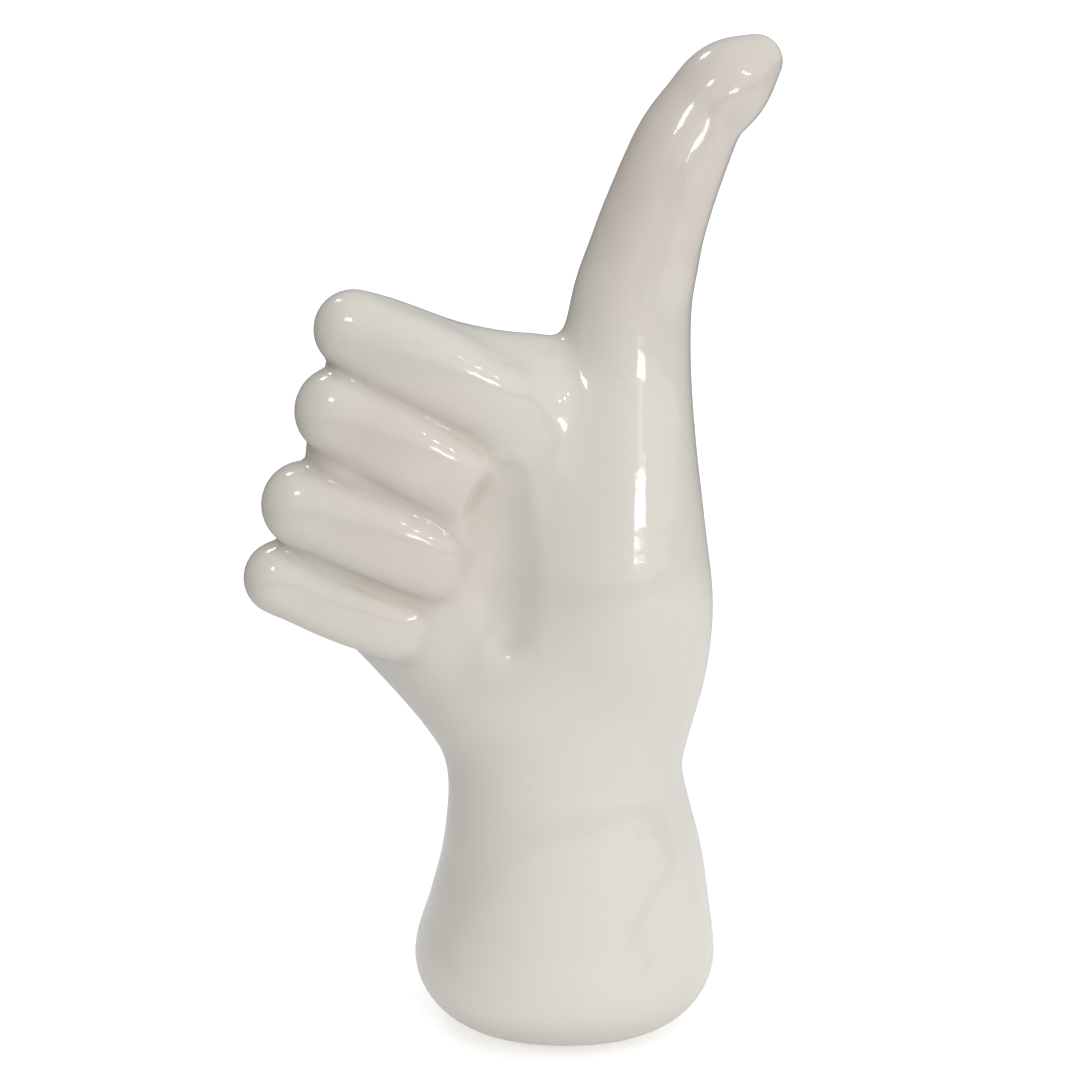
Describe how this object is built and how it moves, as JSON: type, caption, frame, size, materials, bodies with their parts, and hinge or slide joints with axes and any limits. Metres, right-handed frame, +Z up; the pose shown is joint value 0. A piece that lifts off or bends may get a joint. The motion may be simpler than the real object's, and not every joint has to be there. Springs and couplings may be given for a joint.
{
  "type": "thumbs up hand sculpture",
  "caption": "Life-size glazed ceramic fist with its thumb up, standing on a flared forearm foot with rubber pads.",
  "frame": {"origin": "on the table, under the middle of the outline seen from above", "axes": "+Z up along the forearm and thumb, -Y toward the curled fingers and palm, +X toward the thumb's side"},
  "size_m": [0.1159, 0.071, 0.2252],
  "materials": {
    "glaze": "glossy white glaze",
    "pad": "matte"
  },
  "bodies": {
    "root": {"hand_shell": "glaze", "foot_pad_1": "pad", "foot_pad_2": "pad", "foot_pad_3": "pad", "foot_pad_4": "pad"}
  },
  "joints": []
}
